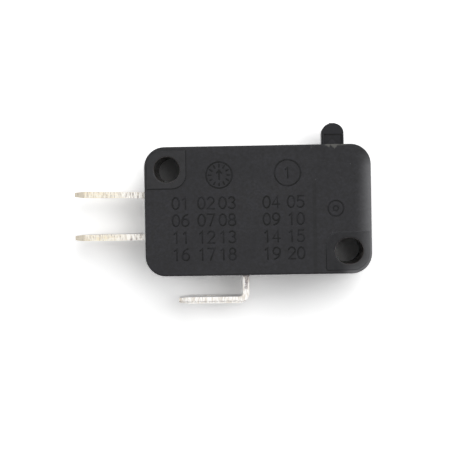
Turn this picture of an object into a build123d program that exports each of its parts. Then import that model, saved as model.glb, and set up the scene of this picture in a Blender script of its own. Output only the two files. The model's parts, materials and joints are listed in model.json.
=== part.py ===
"""Miniature snap-action switch with a pin plunger and three quick-connect tabs.

The origin is on the axis of the round mounting hole, at the back face of the case. X runs along the
case, Y points the way the plunger stands out, and Z goes through the thickness, towards the cover.
The contact mechanism is symmetric about the plane at mid_z.
"""

import os
from math import atan2, degrees, radians, tan

from build123d import *

os.makedirs("parts", exist_ok=True)

# ------------------------------------------------------------- driving dimensions, in millimetres
# housing
hole_span_x = 22.2
hole_span_y = 10.3
hole_margin = 2.8
hole_dia = 3.2
slot_length = 3.5
corner_radius = 2.5
edge_round = 0.25
back_chamfer = 0.2
wall = 1.4
floor_thick = 1.4
cover_thick = 1.4
inner_corner_radius = 1.0
rib_thick = 0.6

# mounting posts in the case, and the raised pads of the cover over them
pad_rise = 0.15
pad_side_inset = 0.42
pad_end_inset = 0.3
pad_edge = 0.1
pad_corner_radius = 0.25
post_wall = 0.8
slot_post_end_wall = 1.1
post_corner_radius = 1.8

# fit of the cover in the case
lip_depth = 0.4
lip_thick = 0.7
lip_gap = 0.08
tongue_gap = 0.03
peg_dia = 1.2
peg_depth = 1.8
peg_gap = 0.05
peg_boss_wall = 0.55
peg_inset = 0.6
peg_top_x = 8.6
peg_right_y = -4.9

# quick-connect tabs
tab_width = 6.35
tab_thick = 0.8
tab_reach = 8.9
tab_lead_in = 1.2
tab_tip_thick = 0.55
tab_corner = 0.9
tab_hole_dia = 1.7
tab_hole_from_tip = 3.8
neck_depth = 0.4
terminal_gap = 0.03
closed_tab_tilt = 1.3
common_tab_reach = 8.81
bend_inner_radius = 0.45
foot_bend_radius = 0.3

# where the terminals run
closed_y = -3.07
open_y = -8.25
common_x = 9.48
common_run_y = -16.2
blade_end_x = 6.2
foot_end_gap = 0.75
spacer_right_x = 0.6
terminal_over_floor = 0.575

# contacts
contact_x = 4.3
contact_dia = 3.0
crown = 0.12
crown_flat_dia = 0.9
fixed_head = 0.85
moving_head = 0.6
shank_dia = 1.5
tail_dia = 2.2
tail_height = 0.25
contact_gap = 0.02

# contact arm
arm_thick = 0.4
arm_pivot_inset = 5.2
arm_tip_x = 2.5
arm_tip_width = 3.4
fork_start_x = 8.0
fork_gap = 2.7
knife_length = 0.5
ear_length = 0.8
side_gap = 0.12
pivot_gap = 0.04
bracket_thick = 0.6

# actuating lever
lever_thick = 0.4
lever_arm = 8.9
lever_pivot_y = -3.0
lever_past_plunger = 1.4
lever_end_width = 3.4
lever_taper = 2.6
stop_gap = 0.35

# tension spring, hooked between a tab on the arm and a tongue under the lever
wire_dia = 0.35
wire_sides = 5
coil_radius = 0.775
coil_turns = 5
hook_stub = 0.45
hook_gap = 0.1
hook_lift = 0.42
anchor_inset = 3.4
anchor_y = -4.6
tongue_width = 0.6
tongue_overlap = 0.5

# pivot bracket
bracket_length = 5.4
bracket_end_gap = 0.6
bracket_bend_radius = 0.3
column_step = 0.8
beam_depth = 0.9
hook_back = 1.0
notch_depth = 0.55
notch_half_angle = 50.0
stake_dia = 1.0
stake_inset = 1.3
stake_head_dia = 1.5
stake_head = 0.2

# plunger
plunger_inset = 1.7
plunger_width = 2.72
plunger_thick = 4.6
plunger_stand = 2.7
dome_rise = 1.2
plunger_travel = 1.9
plunger_gap = 0.08
plunger_chamfer = 0.2
panel_rim = 0.25
panel_drop = 0.15
panel_depth = 0.25
flange_width = 4.4
flange_height = 1.15
flange_proud = 0.5
foot_radius = 0.8
foot_thick = 3.0
foot_width = 2.0
pip_width = 0.7
pip_height = 0.1
touch_gap = 0.02

# ------------------------------------------------------------------------------- derived places
body_left = -hole_margin
body_right = hole_span_x + hole_margin
body_top = hole_margin
body_bottom = -hole_span_y - hole_margin
mid_z = floor_thick + terminal_over_floor + tab_width / 2
body_thick = 2 * mid_z
cover_top = body_thick - pad_rise
rim_z = cover_top - cover_thick
rib_top = rim_z - lip_depth - lip_gap
inner_left = body_left + wall
inner_right = body_right - wall
inner_top = body_top - wall
inner_bottom = body_bottom + wall

post_right = hole_dia / 2 + post_wall
post_bottom = -hole_dia / 2 - post_wall
slot_post_left = hole_span_x - slot_length / 2 - slot_post_end_wall
slot_post_top = -hole_span_y + hole_dia / 2 + post_wall

half_tab = tab_thick / 2
half_width = tab_width / 2
half_neck = half_width - neck_depth
closed_under = closed_y - half_tab
open_over = open_y + half_tab
foot_under = inner_bottom
foot_over = foot_under + tab_thick
tab_tip_x = body_left - tab_reach
foot_end_x = slot_post_left - foot_end_gap
common_right = common_x + half_tab
common_tip_x = common_right - common_tab_reach

# the pivots and the spring's anchor keep their places with the plunger
plunger_x = hole_span_x - plunger_inset
lever_pivot_x = plunger_x - lever_arm
lever_end_x = plunger_x + lever_past_plunger
arm_pivot_x = plunger_x - arm_pivot_inset
anchor_x = plunger_x - anchor_inset
bracket_right_x = foot_end_x - bracket_end_gap
bracket_left_x = bracket_right_x - bracket_length
column_right_x = bracket_right_x - column_step

# the arm's height follows from the contacts stacked under the normally closed blade
arm_top = closed_under - fixed_head - contact_gap - moving_head
arm_under = arm_top - arm_thick
arm_mid = (arm_top + arm_under) / 2
arm_width = tab_width - 2 * bracket_thick - 2 * side_gap
hook_y = arm_top + hook_lift

lever_top = lever_pivot_y + lever_thick / 2
lever_swing = degrees(atan2(plunger_travel, plunger_x - lever_pivot_x))
stop_y = (
    lever_pivot_y
    - (lever_end_x - lever_pivot_x) * tan(radians(lever_swing))
    - lever_thick
    - stop_gap
)

plunger_tip = body_top + plunger_stand
dome_y = plunger_tip - dome_rise
plunger_z0 = mid_z - plunger_thick / 2
plunger_z1 = mid_z + plunger_thick / 2
flange_top = inner_top - touch_gap
foot_y = lever_top + touch_gap

peg_places = [
    (inner_left + peg_inset, inner_bottom + peg_inset),
    (inner_right - peg_inset, peg_right_y),
    (peg_top_x, inner_top - peg_inset),
]


# ------------------------------------------------------------------------------------- helpers
def section(z):
    """The plane across the thickness at height z, where sketches are drawn in X and Y."""
    return Plane.XY.offset(z)


def plan(y):
    """The plane at height y seen from the terminal side: sketch x is X, sketch y is Z - mid_z."""
    return Plane(origin=(0, y, mid_z), x_dir=(1, 0, 0), z_dir=(0, -1, 0))


def rectangle(x0, y0, x1, y1, mode=Mode.ADD):
    """A rectangle between two corners, in the open sketch."""
    with Locations(((x0 + x1) / 2, (y0 + y1) / 2)):
        Rectangle(abs(x1 - x0), abs(y1 - y0), mode=mode)


def polygon(*points):
    """A straight-sided face through the points, in the open sketch."""
    Polygon(*points, align=None)


def round_corner(point, radius):
    """Rounds the corner of the open sketch that is nearest to the point."""
    fillet(vertices().sort_by_distance(point)[0], radius)


def body_outline():
    """The outline of the housing with its rounded corners, in the open sketch."""
    rectangle(body_left, body_bottom, body_right, body_top)
    fillet(vertices(), corner_radius)


def post_outlines(grow=0.0):
    """The two corner posts, each with its one rounded corner towards the middle of the housing."""
    with BuildSketch(mode=Mode.PRIVATE) as posts:
        rectangle(body_left, post_bottom - grow, post_right + grow, body_top)
        rectangle(slot_post_left - grow, body_bottom, body_right, slot_post_top + grow)
        corners = [
            posts.vertices().sort_by_distance((post_right, post_bottom))[0],
            posts.vertices().sort_by_distance((slot_post_left, slot_post_top))[0],
        ]
        fillet(corners, post_corner_radius + grow)
    return posts.sketch


def pad_outlines():
    """The raised pads over the posts, which stop short of the rounded edge of the housing."""
    with BuildSketch(mode=Mode.PRIVATE) as inside:
        rectangle(
            body_left + pad_end_inset,
            body_bottom + pad_side_inset,
            body_right - pad_end_inset,
            body_top - pad_side_inset,
        )
        fillet(vertices(), corner_radius - pad_side_inset)
    with BuildSketch(mode=Mode.PRIVATE) as pads:
        add(post_outlines())
        add(inside.sketch, mode=Mode.INTERSECT)
        round_corner((slot_post_left, body_bottom + pad_side_inset), pad_corner_radius)
    return pads.sketch


def mounting_holes():
    """The round hole and the slot, in the open sketch."""
    Circle(hole_dia / 2)
    with Locations((hole_span_x, -hole_span_y)):
        SlotOverall(slot_length, hole_dia)


def eased_block(height):
    """The housing as a plain block of this height, its back edge chamfered, its front edge rounded."""
    with BuildPart() as block:
        with BuildSketch():
            body_outline()
        extrude(amount=height)
        chamfer(block.faces().sort_by(Axis.Z)[0].edges(), back_chamfer)
        fillet(block.faces().sort_by(Axis.Z)[-1].edges(), edge_round)
    return block.part


def tab_end(root_x, root_y, angle, reach):
    """The tapered end of a tab that leaves its root at this angle: four points round the tip."""
    along = Vector(1, 0, 0).rotate(Axis.Z, angle)
    across = Vector(0, 1, 0).rotate(Axis.Z, angle)
    root = Vector(root_x, root_y, 0)
    shoulder = root + along * (reach - tab_lead_in)
    tip = root + along * reach
    points = [
        shoulder - across * half_tab,
        tip - across * (tab_tip_thick / 2),
        tip + across * (tab_tip_thick / 2),
        shoulder + across * half_tab,
    ]
    return [(point.X, point.Y) for point in points]


def tab_cuts(y, tip_x):
    """What is cut from a tab seen from above: the two corners of its tip and its latching hole."""
    with BuildSketch(plan(y)) as cuts:
        for side in (1, -1):
            polygon(
                (tip_x - tab_lead_in, side * half_width),
                (tip_x + tab_lead_in, side * half_width),
                (tip_x, side * (half_width - tab_corner)),
                (tip_x - tab_lead_in, side * (half_width - tab_corner)),
            )
        with Locations((tip_x + tab_hole_from_tip, 0)):
            Circle(tab_hole_dia / 2)
    return cuts.sketch


def side_blade(y, tilt):
    """A flat terminal that crosses the end wall at height y, its outer part raised by tilt degrees."""
    with BuildPart() as blade:
        with BuildSketch(section(mid_z)):
            polygon(
                (blade_end_x, y + half_tab),
                (body_left, y + half_tab),
                *tab_end(body_left, y, 180 - tilt, tab_reach),
                (body_left, y - half_tab),
                (blade_end_x, y - half_tab),
            )
        extrude(amount=half_width, both=True)
        with BuildSketch(plan(y)):
            # notches for the slot in the end wall
            for side in (1, -1):
                rectangle(
                    body_left - terminal_gap,
                    side * half_neck,
                    inner_left + terminal_gap,
                    side * (half_width + neck_depth),
                )
            # hole for the rivet of the contact
            with Locations((contact_x, 0)):
                Circle(shank_dia / 2)
        extrude(amount=tab_thick, both=True, mode=Mode.SUBTRACT)
        extrude(tab_cuts(y, tab_tip_x), amount=tab_thick, both=True, mode=Mode.SUBTRACT)
    return blade


def contact_head(seat_y, way, height):
    """Half the outline of a contact head, from the middle of its face to its seat on a strip."""
    return [
        (contact_x, seat_y + way * height),
        (contact_x + crown_flat_dia / 2, seat_y + way * height),
        (contact_x + contact_dia / 2, seat_y + way * (height - crown)),
        (contact_x + contact_dia / 2, seat_y),
        (contact_x + shank_dia / 2, seat_y),
    ]


def fixed_contact(seat_y, way):
    """A contact rivet: a head on one side of a blade, a shank through it and a staked tail."""
    far_y = seat_y - way * tab_thick
    end_y = far_y - way * tail_height
    with BuildPart() as rivet:
        with BuildSketch(section(mid_z)):
            polygon(
                *contact_head(seat_y, way, fixed_head),
                (contact_x + shank_dia / 2, far_y),
                (contact_x + tail_dia / 2, far_y),
                (contact_x + tail_dia / 2, end_y),
                (contact_x, end_y),
            )
        revolve(axis=contact_axis)
    return rivet


contact_axis = Axis((contact_x, 0, mid_z), (0, 1, 0))


# ---------------------------------------------------------------------------------------- case
housing_block = eased_block(cover_top)

with BuildPart() as case:
    add(housing_block)
    # above the rim there is only the cover
    with BuildSketch(section(rim_z)):
        rectangle(body_left - wall, body_bottom - wall, body_right + wall, body_top + wall)
    extrude(amount=body_thick, mode=Mode.SUBTRACT)
    # the tray
    with BuildSketch(section(floor_thick)):
        rectangle(inner_left, inner_bottom, inner_right, inner_top)
        fillet(vertices(), inner_corner_radius)
        add(post_outlines(), mode=Mode.SUBTRACT)
    extrude(amount=body_thick, mode=Mode.SUBTRACT)
    # ribs, spacer and guides on the floor, all ending below the cover's lip
    with BuildSketch(section(floor_thick)):
        # spacer that holds the two side blades apart
        rectangle(
            inner_left, open_over + terminal_gap, spacer_right_x, closed_under - terminal_gap
        )
        # props behind the free ends of the side blades
        rectangle(
            blade_end_x - rib_thick,
            closed_y + half_tab + terminal_gap,
            blade_end_x,
            inner_top,
        )
        rectangle(
            blade_end_x - rib_thick,
            inner_bottom,
            blade_end_x,
            open_y - half_tab - terminal_gap,
        )
        # barrier between the contacts and the common terminal
        rectangle(fork_start_x - rib_thick, inner_bottom, fork_start_x, open_over + rib_thick)
        # guides either side of the plunger's flange
        rectangle(
            plunger_x - flange_width / 2 - plunger_gap - rib_thick,
            inner_top - 2 * flange_height,
            plunger_x - flange_width / 2 - plunger_gap,
            inner_top,
        )
        rectangle(
            plunger_x + flange_width / 2 + plunger_gap,
            inner_top - 2 * flange_height,
            inner_right,
            inner_top,
        )
        # stop under the free end of the lever
        rectangle(lever_end_x - rib_thick, slot_post_top, lever_end_x, stop_y)
        # bosses for the cover's pegs
        with Locations(*peg_places):
            Circle(peg_dia / 2 + peg_gap + peg_boss_wall)
    extrude(amount=rib_top - floor_thick)
    # slots in the walls for the necks of the terminals
    with BuildSketch(section(mid_z - half_neck)):
        for slot_y in (closed_y, open_y):
            rectangle(
                body_left - wall,
                slot_y - half_tab - terminal_gap,
                inner_left,
                slot_y + half_tab + terminal_gap,
            )
        rectangle(
            common_x - half_tab - terminal_gap,
            body_bottom - wall,
            common_right + terminal_gap,
            inner_bottom,
        )
    extrude(amount=body_thick, mode=Mode.SUBTRACT)
    # relief for the bend where the common terminal turns onto the floor of the tray
    with BuildSketch(section(mid_z - half_width)):
        rectangle(
            common_right,
            inner_bottom - foot_bend_radius,
            common_right + foot_bend_radius,
            inner_bottom,
        )
    extrude(amount=body_thick, mode=Mode.SUBTRACT)
    # slot in the wall for the plunger
    with BuildSketch(section(plunger_z0 - plunger_gap)):
        rectangle(
            plunger_x - plunger_width / 2 - plunger_gap,
            inner_top,
            plunger_x + plunger_width / 2 + plunger_gap,
            body_top + wall,
        )
    extrude(amount=body_thick, mode=Mode.SUBTRACT)
    # sockets for the pegs
    with BuildSketch(section(rim_z - peg_depth - lip_gap)):
        with Locations(*peg_places):
            Circle(peg_dia / 2 + peg_gap)
    extrude(amount=peg_depth + lip_gap, mode=Mode.SUBTRACT)
    # mounting holes through the posts
    with BuildSketch():
        mounting_holes()
    extrude(amount=body_thick, mode=Mode.SUBTRACT)

# --------------------------------------------------------------------------------------- cover
with BuildPart() as cover:
    add(housing_block)
    with BuildSketch():
        rectangle(body_left, body_bottom, body_right, body_top)
    extrude(amount=rim_z, mode=Mode.SUBTRACT)
    # lip that drops inside the walls of the case
    with BuildSketch(section(rim_z)):
        rectangle(
            inner_left + lip_gap,
            inner_bottom + lip_gap,
            inner_right - lip_gap,
            inner_top - lip_gap,
        )
        fillet(vertices(), inner_corner_radius - lip_gap)
        offset(amount=-lip_thick, mode=Mode.SUBTRACT)
    extrude(amount=-lip_depth)
    # pegs
    with BuildSketch(section(rim_z)):
        with Locations(*peg_places):
            Circle(peg_dia / 2)
    extrude(amount=-peg_depth)
    # tongues that close the slots above the terminals
    with BuildSketch(section(rim_z)):
        for slot_y in (closed_y, open_y):
            rectangle(body_left, slot_y - half_tab, inner_left, slot_y + half_tab)
        rectangle(common_x - half_tab, body_bottom, common_right, inner_bottom)
    extrude(amount=mid_z + half_neck + tongue_gap - rim_z)
    # tongue that closes the slot in front of the plunger
    with BuildSketch(section(rim_z)):
        rectangle(
            plunger_x - plunger_width / 2 - plunger_gap + tongue_gap,
            inner_top,
            plunger_x + plunger_width / 2 + plunger_gap - tongue_gap,
            body_top,
        )
    extrude(amount=plunger_z1 + plunger_gap - rim_z)
    # the lip stops short of the posts of the case, which come up to the rim
    with BuildSketch():
        add(post_outlines(grow=lip_gap))
    extrude(amount=rim_z, mode=Mode.SUBTRACT)
    # raised pads over the posts, and the mounting holes through them
    with BuildSketch(section(cover_top)):
        add(pad_outlines())
    extrude(amount=pad_rise)
    pad_tops = cover.faces().filter_by_position(Axis.Z, body_thick, body_thick)
    chamfer(pad_tops.edges(), pad_edge)
    with BuildSketch():
        mounting_holes()
    extrude(amount=body_thick, mode=Mode.SUBTRACT)

# ------------------------------------------------------------------------------------- plunger
with BuildPart() as plunger:
    with BuildSketch(section(mid_z)):
        rectangle(
            plunger_x - plunger_width / 2,
            flange_top,
            plunger_x + plunger_width / 2,
            dome_y,
        )
        with Locations((plunger_x, dome_y)):
            Ellipse(plunger_width / 2, dome_rise)
    extrude(amount=plunger_thick / 2, both=True)
    chamfer(plunger.faces().filter_by(Axis.Z).edges(), plunger_chamfer)
    # flange that stops the plunger from leaving the case
    with BuildSketch(section(mid_z)):
        rectangle(
            plunger_x - flange_width / 2,
            flange_top - flange_height,
            plunger_x + flange_width / 2,
            flange_top,
        )
    extrude(amount=plunger_thick / 2 + flange_proud, both=True)
    # foot with a rounded nose that bears on the lever
    with BuildSketch(section(mid_z)):
        rectangle(
            plunger_x - foot_width / 2,
            foot_y,
            plunger_x + foot_width / 2,
            flange_top - flange_height,
        )
        fillet(vertices().group_by(Axis.Y)[0], foot_radius)
    extrude(amount=foot_thick / 2, both=True)
    # sunken panels on the two flat sides, below the dome
    for panel_z in (plunger_z1 - panel_depth, plunger_z0):
        with BuildSketch(section(panel_z)):
            rectangle(
                plunger_x - plunger_width / 2 + panel_rim,
                flange_top + panel_rim,
                plunger_x + plunger_width / 2 - panel_rim,
                dome_y - panel_drop,
            )
        extrude(amount=panel_depth, mode=Mode.SUBTRACT)
    # the moulding pip on the crest of the dome
    with BuildSketch(section(mid_z)):
        rectangle(
            plunger_x - pip_width / 2,
            dome_y,
            plunger_x + pip_width / 2,
            plunger_tip + pip_height,
        )
    extrude(amount=pip_width / 2, both=True)

# ----------------------------------------------------------------------------------- terminals
closed_terminal = side_blade(closed_y, closed_tab_tilt)
open_terminal = side_blade(open_y, 0.0)

stake_places = (bracket_left_x + stake_inset, bracket_right_x - stake_inset)

with BuildPart() as common_terminal:
    with BuildSketch(section(mid_z)):
        polygon(
            (foot_end_x, foot_under),
            (foot_end_x, foot_over),
            (common_x - half_tab, foot_over),
            (common_x - half_tab, common_run_y + half_tab),
            *tab_end(common_right, common_run_y, 180, common_tab_reach),
            (common_right, common_run_y - half_tab),
            (common_right, foot_under),
        )
        round_corner((common_x - half_tab, common_run_y + half_tab), bend_inner_radius)
        round_corner((common_right, common_run_y - half_tab), bend_inner_radius + tab_thick)
        round_corner((common_right, foot_under), foot_bend_radius)
        round_corner((common_x - half_tab, foot_over), foot_bend_radius + tab_thick)
    extrude(amount=half_width, both=True)
    # neck that sits in the slot of the long wall
    with BuildSketch(Plane.YZ.offset(common_x)):
        for side in (1, -1):
            rectangle(
                body_bottom - terminal_gap,
                mid_z + side * half_neck,
                inner_bottom,
                mid_z + side * (half_width + neck_depth),
            )
    extrude(amount=tab_thick, both=True, mode=Mode.SUBTRACT)
    extrude(tab_cuts(common_run_y, common_tip_x), amount=tab_thick, both=True, mode=Mode.SUBTRACT)
    # stakes that hold the bracket down
    for stake_x in stake_places:
        with BuildSketch(plan(foot_over)):
            with Locations((stake_x, 0)):
                Circle(stake_dia / 2)
        extrude(amount=-bracket_thick)
        with BuildSketch(plan(foot_over + bracket_thick)):
            with Locations((stake_x, 0)):
                Circle(stake_head_dia / 2)
        extrude(amount=-stake_head)

# ------------------------------------------------------------------------------------ contacts
closed_contact = fixed_contact(closed_under, -1)
open_contact = fixed_contact(open_over, 1)

with BuildPart() as moving_contact:
    with BuildSketch(section(mid_z)):
        polygon(
            *contact_head(arm_top, 1, moving_head),
            *reversed(contact_head(arm_under, -1, moving_head)),
        )
    revolve(axis=contact_axis)

# --------------------------------------------------------------------------------- contact arm
with BuildPart() as contact_arm:
    # strip with a knife edge at its pivot
    with BuildSketch(section(mid_z)):
        polygon(
            (arm_tip_x, arm_under),
            (arm_tip_x, arm_top),
            (arm_pivot_x - knife_length, arm_top),
            (arm_pivot_x, arm_mid),
            (arm_pivot_x - knife_length, arm_under),
        )
    extrude(amount=half_width, both=True)
    # its outline from above: a nose for the contact, then a fork with an ear on each prong
    with BuildSketch(plan(arm_mid)) as arm_plan:
        rectangle(arm_tip_x, -arm_tip_width / 2, fork_start_x, arm_tip_width / 2)
        polygon(
            (contact_x + contact_dia / 2, -arm_tip_width / 2),
            (fork_start_x - arm_thick, -arm_width / 2),
            (arm_pivot_x, -arm_width / 2),
            (arm_pivot_x, arm_width / 2),
            (fork_start_x - arm_thick, arm_width / 2),
            (contact_x + contact_dia / 2, arm_tip_width / 2),
        )
        fillet(arm_plan.vertices().group_by(Axis.X)[0], arm_tip_width / 4)
        rectangle(arm_pivot_x - ear_length, -half_width, arm_pivot_x, half_width)
        rectangle(
            fork_start_x, -fork_gap / 2, arm_pivot_x + ear_length, fork_gap / 2, Mode.SUBTRACT
        )
        with Locations((contact_x, 0)):
            Circle(shank_dia / 2, mode=Mode.SUBTRACT)
    extrude(amount=arm_thick, both=True, mode=Mode.INTERSECT)
    # tab bent up at the root of the fork, which the spring hooks over
    with BuildSketch(section(mid_z)):
        rectangle(fork_start_x - arm_thick, arm_mid, fork_start_x, hook_y + tongue_overlap)
    extrude(amount=tongue_width / 2, both=True)

# ----------------------------------------------------------------------------- actuating lever
with BuildPart() as actuating_lever:
    with BuildSketch(section(mid_z)):
        polygon(
            (lever_pivot_x, lever_pivot_y),
            (lever_pivot_x + knife_length, lever_pivot_y + lever_thick / 2),
            (lever_end_x, lever_pivot_y + lever_thick / 2),
            (lever_end_x, lever_pivot_y - lever_thick / 2),
            (lever_pivot_x + knife_length, lever_pivot_y - lever_thick / 2),
        )
    extrude(amount=half_width, both=True)
    # outline from above, with the window that the tongue was bent out of
    with BuildSketch(plan(lever_pivot_y)) as lever_plan:
        polygon(
            (lever_pivot_x, -arm_width / 2),
            (lever_end_x - lever_taper, -arm_width / 2),
            (lever_end_x, -lever_end_width / 2),
            (lever_end_x, lever_end_width / 2),
            (lever_end_x - lever_taper, arm_width / 2),
            (lever_pivot_x, arm_width / 2),
        )
        fillet(lever_plan.vertices().group_by(Axis.X)[-1], lever_end_width / 5)
        rectangle(lever_pivot_x, -half_width, lever_pivot_x + ear_length, half_width)
        rectangle(
            anchor_x,
            -tongue_width / 2 - side_gap,
            anchor_x + lever_pivot_y - anchor_y + tongue_overlap,
            tongue_width / 2 + side_gap,
            Mode.SUBTRACT,
        )
    extrude(amount=lever_thick, both=True, mode=Mode.INTERSECT)
    # tongue that pulls on the spring
    with BuildSketch(section(mid_z)):
        rectangle(anchor_x - lever_thick, anchor_y - tongue_overlap, anchor_x, lever_pivot_y)
    extrude(amount=tongue_width / 2, both=True)

# ------------------------------------------------------------------------------ tension spring
# the two ends of the spring, where the insides of its hooks bear
arm_end = Vector(fork_start_x - arm_thick - hook_gap, hook_y, mid_z)
lever_end = Vector(anchor_x + hook_gap, anchor_y, mid_z)
spring_way = (lever_end - arm_end).normalized()
hook_reach = coil_radius - wire_dia / 2
arm_hook = arm_end + spring_way * hook_reach
lever_hook = lever_end - spring_way * hook_reach
coil_start = arm_hook + spring_way * hook_stub
coil_length = (lever_hook - arm_hook).length - 2 * hook_stub
hook_side = Vector(0, 0, 1).cross(spring_way)
hook_half_angle = 180 - degrees(atan2((coil_radius**2 - hook_stub**2) ** 0.5, hook_stub))

# the helix starts and ends at the side of the coil, where the hooks carry on from it
coil_helix = Helix(pitch=coil_length / coil_turns, height=coil_length, radius=coil_radius)
coil_place = Plane(origin=coil_start, x_dir=(0, 0, 1), z_dir=spring_way)

with BuildPart() as tension_spring:
    with BuildLine() as coil:
        add(coil_place.location * coil_helix)
    with BuildSketch(Plane(origin=coil.line @ 0, z_dir=coil.line % 0)):
        RegularPolygon(wire_dia / 2, wire_sides)
    sweep(path=coil.line, is_frenet=True)
    for centre, way in ((arm_hook, spring_way * -1), (lever_hook, spring_way)):
        with BuildLine(Plane(origin=centre, x_dir=way, z_dir=hook_side)) as hook:
            CenterArc((0, 0), coil_radius, -hook_half_angle, 2 * hook_half_angle)
        with BuildSketch(Plane(origin=hook.line @ 0, z_dir=hook.line % 0)):
            RegularPolygon(wire_dia / 2, wire_sides)
        sweep(path=hook.line)

# ------------------------------------------------------------------------------- pivot bracket
beam_top = lever_pivot_y - notch_depth
beam_under = beam_top - beam_depth
notch_half = notch_depth * tan(radians(notch_half_angle))
arm_notch_x = arm_pivot_x + pivot_gap
lever_notch_x = lever_pivot_x - pivot_gap
bracket_under = foot_over

with BuildPart() as pivot_bracket:
    # channel section: a base on the foot of the common terminal and two cheeks
    with BuildSketch(Plane.YZ.offset(lever_notch_x - hook_back)) as channel:
        rectangle(bracket_under, mid_z - half_width, body_top, mid_z + half_width)
        fillet(channel.vertices().group_by(Axis.X)[0], bracket_bend_radius + bracket_thick)
        with BuildSketch(mode=Mode.PRIVATE) as hollow:
            rectangle(
                bracket_under + bracket_thick,
                mid_z - half_width + bracket_thick,
                body_top,
                mid_z + half_width - bracket_thick,
            )
            fillet(hollow.vertices().group_by(Axis.X)[0], bracket_bend_radius)
        add(hollow.sketch, mode=Mode.SUBTRACT)
    extrude(amount=bracket_right_x - lever_notch_x + hook_back)
    # outline of the cheeks, with the two knife-edge notches
    with BuildSketch(section(mid_z)):
        polygon(
            (bracket_left_x, bracket_under),
            (bracket_right_x, bracket_under),
            (bracket_right_x, bracket_under + 2 * bracket_thick),
            (column_right_x, bracket_under + 4 * bracket_thick),
            (column_right_x, beam_top),
            (lever_notch_x + notch_depth, lever_pivot_y - notch_half),
            (lever_notch_x, lever_pivot_y),
            (lever_notch_x + notch_depth, lever_pivot_y + notch_half),
            (lever_notch_x - hook_back, lever_pivot_y + notch_half),
            (lever_notch_x - hook_back, beam_under + notch_depth),
            (lever_notch_x - hook_back + notch_depth, beam_under),
            (arm_notch_x - notch_depth, beam_under),
            (arm_notch_x - notch_depth, arm_mid + notch_half),
            (arm_notch_x, arm_mid),
            (arm_notch_x - notch_depth, arm_mid - notch_half),
            (arm_notch_x - notch_depth, bracket_under + 4 * bracket_thick),
            (bracket_left_x, bracket_under + 2 * bracket_thick),
        )
    extrude(amount=tab_width, both=True, mode=Mode.INTERSECT)
    # holes for the stakes
    with BuildSketch(plan(bracket_under)):
        for stake_x in stake_places:
            with Locations((stake_x, 0)):
                Circle(stake_dia / 2)
    extrude(amount=-bracket_thick, mode=Mode.SUBTRACT)

# -------------------------------------------------------------------------------------- export
pieces = {
    "case": case,
    "cover": cover,
    "plunger": plunger,
    "common_terminal": common_terminal,
    "closed_terminal": closed_terminal,
    "open_terminal": open_terminal,
    "closed_contact": closed_contact,
    "open_contact": open_contact,
    "moving_contact": moving_contact,
    "contact_arm": contact_arm,
    "actuating_lever": actuating_lever,
    "tension_spring": tension_spring,
    "pivot_bracket": pivot_bracket,
}
for name, piece in pieces.items():
    piece.part.label = name
    export_step(piece.part, f"parts/{name}.step")
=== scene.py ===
"""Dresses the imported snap-action switch: moulded plastic, tinned tabs, raised mould marks, light, camera.

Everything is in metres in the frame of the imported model: the origin is on the axis of the round
mounting hole at the back face, X runs along the case, Y towards the plunger's tip, Z to the cover.
Each size below is written in millimetres and multiplied by MM.
"""

import json

import bpy
import numpy as np
from mathutils import Matrix, Vector


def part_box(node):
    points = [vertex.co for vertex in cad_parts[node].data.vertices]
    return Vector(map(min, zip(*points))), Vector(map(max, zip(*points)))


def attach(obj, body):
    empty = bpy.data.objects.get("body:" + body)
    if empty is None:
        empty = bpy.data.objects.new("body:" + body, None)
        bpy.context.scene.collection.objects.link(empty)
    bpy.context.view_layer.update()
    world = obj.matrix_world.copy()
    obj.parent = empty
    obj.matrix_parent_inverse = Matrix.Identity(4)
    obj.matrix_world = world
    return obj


MM = 0.001

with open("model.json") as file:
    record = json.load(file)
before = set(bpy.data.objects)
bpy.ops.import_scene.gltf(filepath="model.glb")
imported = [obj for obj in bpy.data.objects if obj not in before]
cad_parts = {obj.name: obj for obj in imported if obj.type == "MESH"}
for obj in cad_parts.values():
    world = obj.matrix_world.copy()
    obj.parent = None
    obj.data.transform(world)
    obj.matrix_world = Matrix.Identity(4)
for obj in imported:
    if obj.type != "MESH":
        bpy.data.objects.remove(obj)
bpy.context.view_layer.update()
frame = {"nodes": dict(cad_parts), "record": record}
nodes = frame["nodes"]
mounts = {mount["name"]: mount for mount in frame["record"]["mounts"]}

case_low, case_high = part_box("case")
case_middle = (case_low + case_high) / 2
cover_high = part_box("cover")[1]
plunger_low, plunger_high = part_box("plunger")
straight_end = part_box("open_terminal")[0][0]
bent_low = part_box("common_terminal")[0]

# the cover meets the case at the rim, and its face lies below the tops of its two corner pads
PAD_RISE = 0.15 * MM
seam_z = case_high[2]
cover_top = cover_high[2] - PAD_RISE

# one mounting hole is round, and the other is a slot with its two axes this far from its middle
SLOT_HALF = 0.15 * MM
hole_radius = mounts["mounting_hole"]["dims"]["r_mm"] * MM
round_hole = Vector(mounts["mounting_hole"]["pos_m"][:2])
slot_hole = Vector(mounts["slotted_hole"]["pos_m"][:2]) - Vector((SLOT_HALF, 0.0))

# a pad reaches this far inwards from the middle of its hole, to a rounded corner, and stops short of
# the outer edges of the cover
PAD_ROUNDING = 1.8 * MM
PAD_REACH = hole_radius + 0.8 * MM
SLOT_PAD_REACH = hole_radius + SLOT_HALF + 1.1 * MM
PAD_END_INSET = 0.3 * MM
PAD_SIDE_INSET = 0.42 * MM
# for each pad: its inner corner, the signs of X and Y that lead out of it there, its outer edges
PADS = (
    (
        round_hole + Vector((PAD_REACH, -PAD_REACH)),
        (1.0, -1.0),
        (case_low[0] + PAD_END_INSET, case_high[1] - PAD_SIDE_INSET),
    ),
    (
        slot_hole + Vector((-SLOT_PAD_REACH, PAD_REACH)),
        (-1.0, 1.0),
        (case_high[0] - PAD_END_INSET, case_low[1] + PAD_SIDE_INSET),
    ),
)

# the rounding of the housing's four upright edges
CORNER_ROUNDING = 2.5 * MM


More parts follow.
